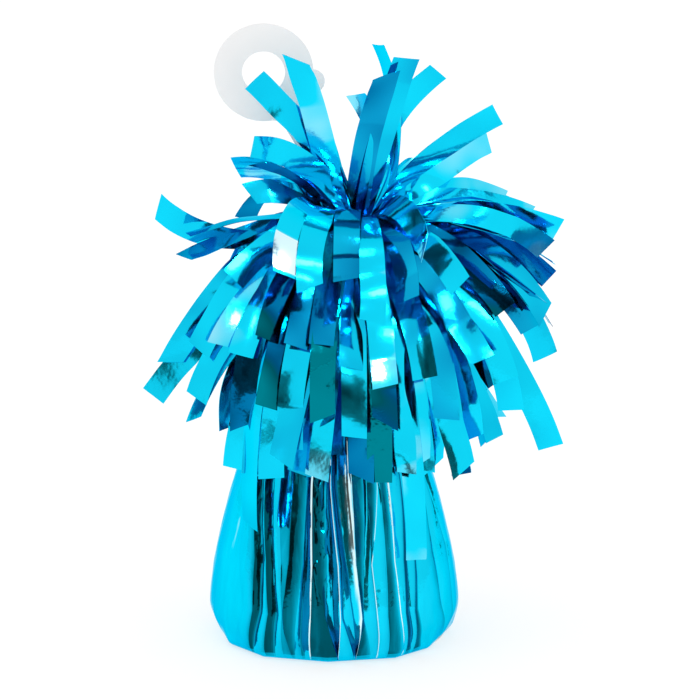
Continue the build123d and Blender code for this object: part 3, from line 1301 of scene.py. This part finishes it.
@dataclass(frozen=True)
class Studio:
    """Floor, light tent, cards, lamps and camera.

    Attributes:
        elevation: the camera's angle above the horizon.
        target: the point in the middle of the picture, in millimetres.
        frame_width: width of the picture at the target, in millimetres.
        lens, sensor: focal length and width of the sensor, in millimetres.
        clip: nearest and furthest that the camera sees, in metres.
        tent: brightness of the light tent.
        floor_size: length of the floor's side in metres.
        floor_drop: how far the floor lies under the foot, in metres.
        floor_finish, grey_card, blue_card: the finishes of the floor and the cards.
        cards: the dark cards that give the foil its contrast.
        lamps: the lamps that make the white glints.
    """

    elevation: float = 15.0
    target: Place = (3.87, 0.0, 70.7)
    frame_width: float = 169.5
    lens: float = 400.0
    sensor: float = 36.0
    clip: tuple[float, float] = (0.01, 50.0)
    tent: float = 1.0
    floor_size: float = 8.0
    floor_drop: float = 0.0002
    floor_finish: StudioFinish = StudioFinish(
        "pale_floor", (0.42, 0.42, 0.42), (0.44, 0.44, 0.44), ends=RAMP_ENDS, scale=3.0, glow=0.62
    )
    grey_card: StudioFinish = StudioFinish("grey_card", (0.020, 0.020, 0.018), (0.19, 0.18, 0.17))
    blue_card: StudioFinish = StudioFinish("blue_card", (0.010, 0.030, 0.080), (0.080, 0.26, 0.52))
    cards: tuple[Card, ...] = (
        Card("card_front_left", -30, 8, 0.80, 0.45, 0.40),
        Card("card_floor_left", -30, 0, 0.95, 0.45, 0.90, Stance.LYING),
        Card("card_floor_right", 44, 0, 0.80, 0.16, 0.90, Stance.LYING),
        Card("card_right", 118, 8, 0.90, 0.35, 0.60),
        Card("card_over_front", -20, 56, 0.80, 0.40, 0.18, blue=True),
        Card("card_over_right", 60, 48, 0.85, 0.36, 0.30, blue=True),
        Card("card_left", -128, 18, 0.90, 0.30, 0.55, blue=True),
        Card("card_over_back", 170, 60, 0.90, 0.50, 0.30, blue=True),
    )
    lamps: tuple[Lamp, ...] = (
        Lamp("key", 28, 50, 0.9, 0.12, 70.0),
        Lamp("front", 10, 30, 0.9, 0.09, 50.0),
        Lamp("front_left", -26, 20, 0.9, 0.07, 50.0),
        Lamp("fill", -70, 35, 1.0, 0.10, 70.0),
        Lamp("top", 0, 84, 1.0, 0.20, 12.0),
        Lamp("rim", 160, 55, 1.0, 0.14, 40.0),
    )

    def lay_floor(self) -> None:
        """Lay the plain pale floor."""
        shape = bmesh.new()
        under = Matrix.Translation((0.0, 0.0, -self.floor_drop))
        bmesh.ops.create_grid(
            shape, x_segments=1, y_segments=1, size=self.floor_size / 2, matrix=under
        )
        finish_mesh("floor", shape, self.floor_finish.make(), UNCREASED)

    def hang_tent(self) -> None:
        """Hang the white light tent."""
        world = bpy.data.worlds.new("light_tent")
        world.use_nodes = True
        bpy.context.scene.world = world
        graph = NodeGraph(world.node_tree)
        light = graph.add(
            "ShaderNodeBackground", {"Color": (1.0, 1.0, 1.0, 1.0), "Strength": self.tent}
        )
        graph.add("ShaderNodeOutputWorld", {"Surface": light.outputs["Background"]})

    def set_camera(self) -> None:
        """Set up the camera at the photograph's viewing angle."""
        data = bpy.data.cameras.new("camera")
        data.lens = self.lens
        data.sensor_width = self.sensor
        data.clip_start, data.clip_end = self.clip
        back = sloping(FRONT, self.elevation)
        distance = self.frame_width * self.lens / self.sensor
        camera = bpy.data.objects.new("camera", data)
        camera.location = (Vector(self.target) + back * distance) * MM
        camera.rotation_mode = "QUATERNION"
        camera.rotation_quaternion = (-back).to_track_quat("-Z", "Y")
        bpy.context.scene.collection.objects.link(camera)
        bpy.context.scene.camera = camera

    def build(self) -> None:
        """Put the whole studio up."""
        self.lay_floor()
        self.hang_tent()
        grey, blue = self.grey_card.make(), self.blue_card.make()
        for card in self.cards:
            card.place(blue if card.blue else grey)
        for lamp in self.lamps:
            lamp.hang()
        self.set_camera()
        bpy.context.scene.view_settings.view_transform = "Standard"


# Painted reflection and shade tones of the fringe, with a painted sheen and a painted white highlight.
FRINGE_FOIL = FoilFinish("turquoise_foil")

# Painted reflection and shade tones of the wrapper, darker and plainer than the fringe's.
WRAPPER_FOIL = FoilFinish(
    "turquoise_sheet",
    painted_sheen=(0.0, 0.065, 0.09),
    teal=(0.0, 0.065, 0.09),
    navy=(0.0, 0.08, 0.11),
    deep=(0.0, 0.09, 0.13),
    middle=(0.0, 0.31, 0.46),
    stretch=(420.0, 420.0, 26.0),
    mottle=0.3,
    crinkle=0.07,
    crush=0.15,
)

# Each strip's tone is a painted reflection and shade; glint marks a painted white highlight.
TUFT = FringePly(
    node="fringe_tuft", number=0,
    singles=(
        Ribbon.to_end(-18.9, -11.0, 140.3, arch=22, bearing=238, turn=14, lag=0.8, tone=0.6),
        Ribbon.to_end(-9.0, -14.0, 146.0, arch=8, bearing=230, turn=10, lag=0.6, tone=0.5),
        Ribbon.to_end(17.4, -6.0, 144.5, arch=4, bearing=318, turn=8, tone=0.46),
        Ribbon.to_end(12.6, -9.0, 141.0, arch=6, bearing=290, turn=4, tone=0.34),
        Ribbon.to_end(10.6, 4.0, 145.6, arch=-26, bearing=4, turn=-60, tone=0.7),
        Ribbon.to_end(5.2, 12.0, 131.4, arch=-24, bearing=30, turn=-34, tone=0.7),
        Ribbon.to_end(25.2, 14.0, 136.6, arch=26, turn=20, tone=0.7),
        Ribbon.to_end(39.2, -8.0, 131.2, arch=14, turn=16, tone=0.65),
        Ribbon.to_end(37.3, 4.0, 121.7, arch=10, turn=20, tone=0.9),
        Ribbon.to_end(-23.7, 6.0, 114.7, arch=32, show=0.8, tone=0.7),
        Ribbon.to_end(-20.3, -4.0, 110.6, arch=26, show=0.7, tone=0.75),
        Ribbon.to_end(-19.5, -12.0, 124.2, arch=32, bearing=240, show=0.9, tone=0.8),
        Ribbon.to_end(-18.0, -8.0, 119.0, arch=26, show=0.3, tone=0.12),
        Ribbon.to_end(34.0, 18.0, 118.0, arch=18, show=0.3),
        Ribbon.to_end(20.0, 26.0, 109.0, arch=20),
        Ribbon.to_end(-6.0, 28.0, 124.0, arch=14),
    ),
)

CROWN = FringePly(
    node="fringe_crown", number=1, strips=15, lift=14, tip=-40, length=43,
    lift_spread=14, tip_spread=16, length_spread=4, show=0.5, turn_spread=26, drift_spread=18, phase=0.5,
    lean=10, clear=(195, 352),
    singles=(
        Ribbon.to_end(-42.1, -10.0, 109.0, arch=-34, tone=0.75),
        Ribbon.to_end(-34.9, -14.0, 103.0, arch=8, show=0.0, turn=8, tone=0.6),
        Ribbon.to_end(-36.0, -12.0, 97.0, arch=14, show=0.2, tone=0.7),
        Ribbon.to_end(54.0, 0.0, 100.5, arch=18, show=0.6, turn=-30, tone=0.8),
        Ribbon.to_end(51.0, -8.0, 98.0, arch=20, show=0.8, turn=-24, tone=0.8),
        Ribbon.to_end(53.0, -4.0, 93.5, arch=22, show=0.3, turn=-36),
        Ribbon.to_end(47.0, 8.0, 102.0, arch=22, show=0.0, turn=72, tone=0.8),
        Ribbon.to_end(41.0, 12.0, 104.5, arch=20, show=0.0, turn=78, tone=0.8),
        Ribbon.to_end(52.0, 2.0, 88.0, arch=24, show=0.2, turn=-50, tone=0.2),
        Ribbon.to_end(49.0, -14.0, 87.0, arch=22, show=0.5, turn=-50, tone=0.1),
        # Painted white highlight near the end of this strip.
        Ribbon.to_end(-11.4, -36.0, 98.6, arch=54, bearing=232, tone=0.95, glint=(0.74, 0.98)),
        Ribbon.to_end(-5.6, -38.0, 96.0, arch=54, bearing=250, turn=-5, tone=0.95),
        Ribbon.to_end(3.0, -37.0, 97.8, arch=54, bearing=268, turn=4, tone=0.55),
        Ribbon.to_end(9.2, -40.0, 88.2, arch=54, bearing=282, turn=-8, tone=0.75),
        Ribbon.to_end(17.5, -32.0, 91.5, arch=42, bearing=306, turn=10, tone=0.2),
        Ribbon.to_end(21.6, -32.0, 104.3, arch=46, bearing=316, turn=14, tone=0.8),
        Ribbon.to_end(30.0, -32.0, 95.0, arch=22, turn=-10, tone=0.7),
        Ribbon.to_end(-24.0, -22.0, 94.0, arch=22, turn=6, tone=0.75),
        Ribbon.to_end(46.0, -12.0, 85.0, arch=24, show=0.3, turn=-52, tone=0.1),
        Ribbon.to_end(41.0, -20.0, 86.0, arch=24, show=0.5, turn=44, tone=0.15),
    ),
)

UPPER = FringePly(
    node="fringe_upper", number=2, strips=17, lift=0, tip=-56, length=44,
    lift_spread=10, tip_spread=12, length_spread=6, show=0.55, turn_spread=24, drift_spread=16, phase=0.0,
    lean=12, clear=(185, 345),
    singles=(
        Ribbon.to_end(51.0, -5.0, 80.8, arch=28, show=0.7),
        Ribbon.to_end(52.5, 4.0, 76.0, arch=26, show=0.1, tone=0.1),
        Ribbon.to_end(47.0, -16.0, 80.0, arch=24, show=0.4, tone=0.35),
        Ribbon.to_end(51.0, -5.0, 70.3, arch=30, show=0.9, tone=0.8),
        Ribbon.to_end(41.4, -18.0, 68.0, arch=28, tone=0.7),
        Ribbon.to_end(35.4, -26.0, 75.2, arch=20, turn=-18, tone=0.3),
        Ribbon.to_end(21.8, -28.0, 71.2, arch=22, turn=8, tone=0.5),
        Ribbon.to_end(12.3, -33.0, 70.5, arch=26, turn=-10, tone=0.8),
        Ribbon.to_end(4.4, -29.0, 73.8, arch=22, turn=-12, tone=0.2),
        Ribbon.to_end(-3.0, -30.0, 80.0, arch=24, turn=16, tone=0.06),
        Ribbon.to_end(-9.0, -28.0, 79.0, arch=22, turn=-8, tone=0.08),
        Ribbon.to_end(-16.0, -25.0, 80.0, arch=22, turn=-14, tone=0.06),
        Ribbon.to_end(-22.3, -24.0, 75.8, arch=26, tone=0.75),
        Ribbon.to_end(-27.1, -22.0, 77.8, arch=26, tone=0.75),
        Ribbon.to_end(-32.4, -17.0, 75.2, arch=26, tone=0.65),
        Ribbon.to_end(-39.4, -12.0, 70.9, arch=17, tone=0.8),
        Ribbon.to_end(-43.6, -10.0, 61.9, arch=14, show=0.9, tone=0.4),
    ),
)

MIDDLE = FringePly(
    node="fringe_middle", number=3, strips=20, lift=-32, tip=-78, length=54,
    lift_spread=8, tip_spread=8, length_spread=6, show=0.5, turn_spread=24, drift_spread=14, phase=0.5,
    lean=6, clear=(188, 356),
    singles=(
        Ribbon.to_end(-15.8, -28.0, 63.9, arch=24, turn=-10, tone=-0.02),
        Ribbon.to_end(-10.4, -29.0, 54.0, arch=24, turn=8, tone=0.6),
        Ribbon.to_end(-2.7, -31.0, 62.1, arch=26, turn=-12, tone=-0.01),
        Ribbon.to_end(4.9, -31.0, 57.4, arch=24, turn=10, tone=0.6),
        Ribbon.to_end(12.3, -31.0, 60.7, arch=24, turn=-14, tone=-0.02),
        Ribbon.to_end(17.9, -28.0, 47.6, arch=22, turn=6, tone=0.55),
        Ribbon.to_end(27.0, -24.0, 60.0, arch=22, turn=-12, tone=0.4),
        Ribbon.to_end(33.2, -15.0, 52.6, arch=22, turn=10, tone=0.7),
        Ribbon.to_end(-22.0, -24.0, 58.0, arch=24, turn=12, tone=0.5),
        Ribbon.to_end(52.3, -14.0, 50.2, arch=14, tone=0.8),
        Ribbon.to_end(42.6, -15.0, 59.7, arch=24, tone=0.7),
        Ribbon.to_end(-33.0, -18.0, 63.5, arch=26, show=0.6),
    ),
)

LOWER = FringePly(
    node="fringe_lower", number=4, strips=21, lift=-48, tip=-84, length=57,
    lift_spread=6, tip_spread=6, length_spread=5, show=0.4, turn_spread=20, drift_spread=10, phase=0.0,
    clear=(205, 335),
    singles=(
        Ribbon.to_end(-23.7, -20.0, 46.5, arch=22, tone=0.75),
        Ribbon.to_end(-19.0, -24.0, 46.0, arch=18, tone=0.65),
        Ribbon.to_end(-15.0, -26.0, 45.8, arch=20, tone=0.7),
        Ribbon.to_end(-8.2, -28.0, 47.6, arch=22, turn=-16, tone=0.02),
        Ribbon.to_end(-1.0, -27.0, 52.0, arch=16, turn=10, tone=0.3),
        Ribbon.to_end(10.9, -29.0, 45.6, arch=22, turn=12, tone=-0.01),
        Ribbon.to_end(20.3, -24.0, 48.5, arch=20, turn=-6, tone=0.7),
        Ribbon.to_end(24.0, -19.0, 46.7, arch=18, turn=14, tone=0.4),
        Ribbon.to_end(30.8, -12.0, 42.8, arch=18, turn=50, tone=0.7),
        Ribbon.to_end(31.2, -22.0, 46.5, arch=18),
        Ribbon.to_end(19.8, -29.5, 26.5, arch=20, turn=36, tone=0.7),
        Ribbon.to_end(-20.1, -25.5, 34.0, arch=22, turn=55, tone=0.8),
    ),
)

WRAP = FringePly(
    node="fringe_wrap", number=5, strips=23, lift=-56, tip=-88, length=56,
    lift_spread=3, tip_spread=3, length_spread=4, show=0.2, turn_spread=14, drift_spread=6, phase=0.5,
)

FRINGE = (TUFT, CROWN, UPPER, MIDDLE, LOWER, WRAP)


def main() -> None:
    """Build the pieces and the studio in order, and report each piece."""
    logging.basicConfig(level=logging.INFO, format="%(name)s: %(message)s")
    for node in CorePieces().dress():
        LOG.info("dressed %s", node.name)
    wrapper = FoilWrapper().build(WRAPPER_FOIL.make())
    LOG.info("made %s", wrapper.name)
    foil = FRINGE_FOIL.make()
    for ply in FRINGE:
        piece = ply.build(foil)
        LOG.info("made %s with %d faces", piece.name, len(piece.data.polygons))
    Studio().build()


if __name__ == "__main__":
    main()
